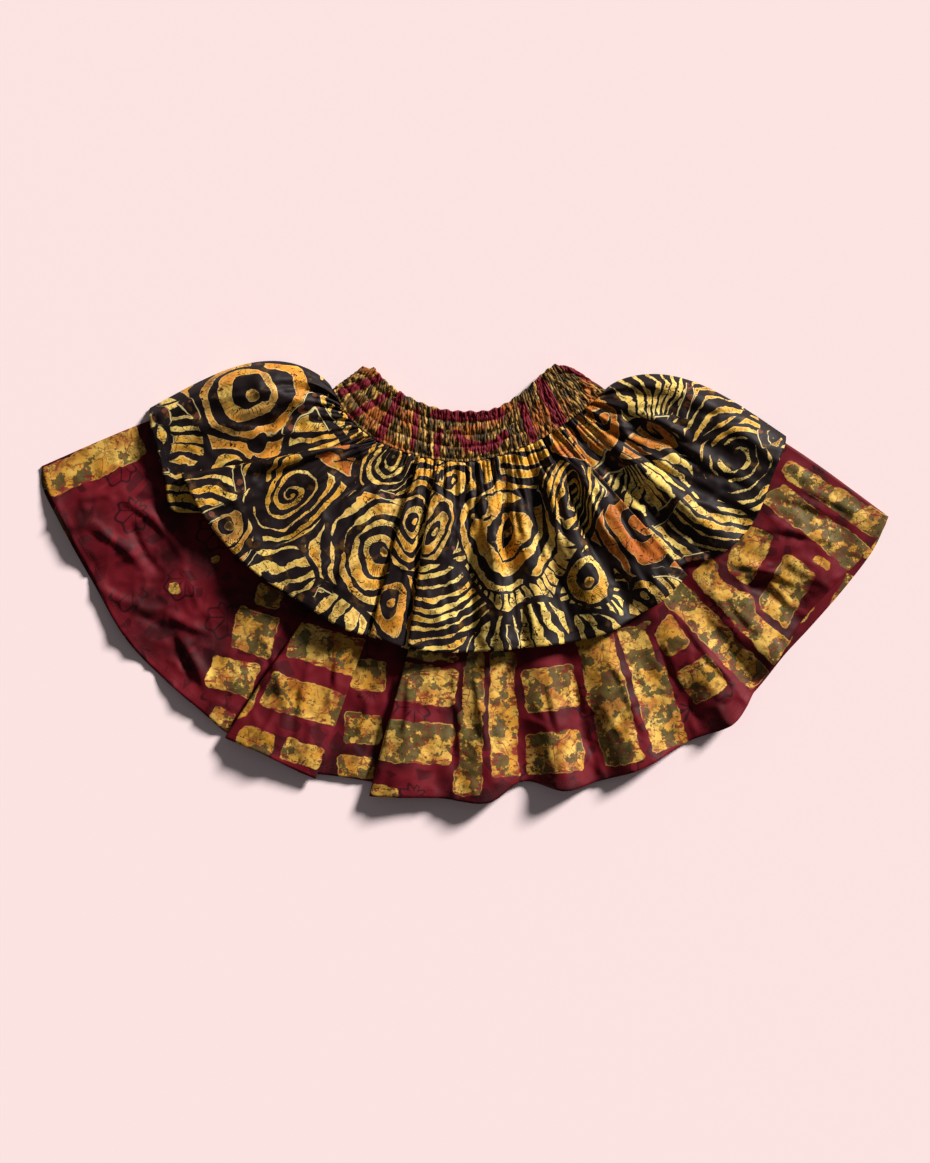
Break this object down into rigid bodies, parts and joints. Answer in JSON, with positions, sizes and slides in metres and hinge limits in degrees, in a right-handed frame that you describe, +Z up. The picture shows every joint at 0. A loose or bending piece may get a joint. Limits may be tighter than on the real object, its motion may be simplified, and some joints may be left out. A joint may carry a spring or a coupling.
{
  "type": "layered skirt",
  "caption": "Two-tier gathered cotton skirt with a shirred elastic waistband, laid flat on its back with soft folds.",
  "frame": {"origin": "on the ground under the middle of the laid-out skirt's overall box", "axes": "+X across the skirt to the wearer's left, +Y from the hem to the waist, +Z up from the ground through the back, then the front"},
  "size_m": [0.992, 0.5171, 0.0335],
  "materials": {
    "waistband_cloth": "printed cotton damask, gathered on elastic",
    "upper_tier_cloth": "polished cotton with a dark and gold wax-resist print",
    "lower_tier_cloth": "polished cotton damask with a maroon and gold wax-resist print"
  },
  "bodies": {
    "root": {"waistband_front": "waistband_cloth", "waistband_back": "waistband_cloth", "upper_tier_front": "upper_tier_cloth", "upper_tier_back": "upper_tier_cloth", "lower_tier_front": "lower_tier_cloth", "lower_tier_back": "lower_tier_cloth"}
  },
  "joints": []
}
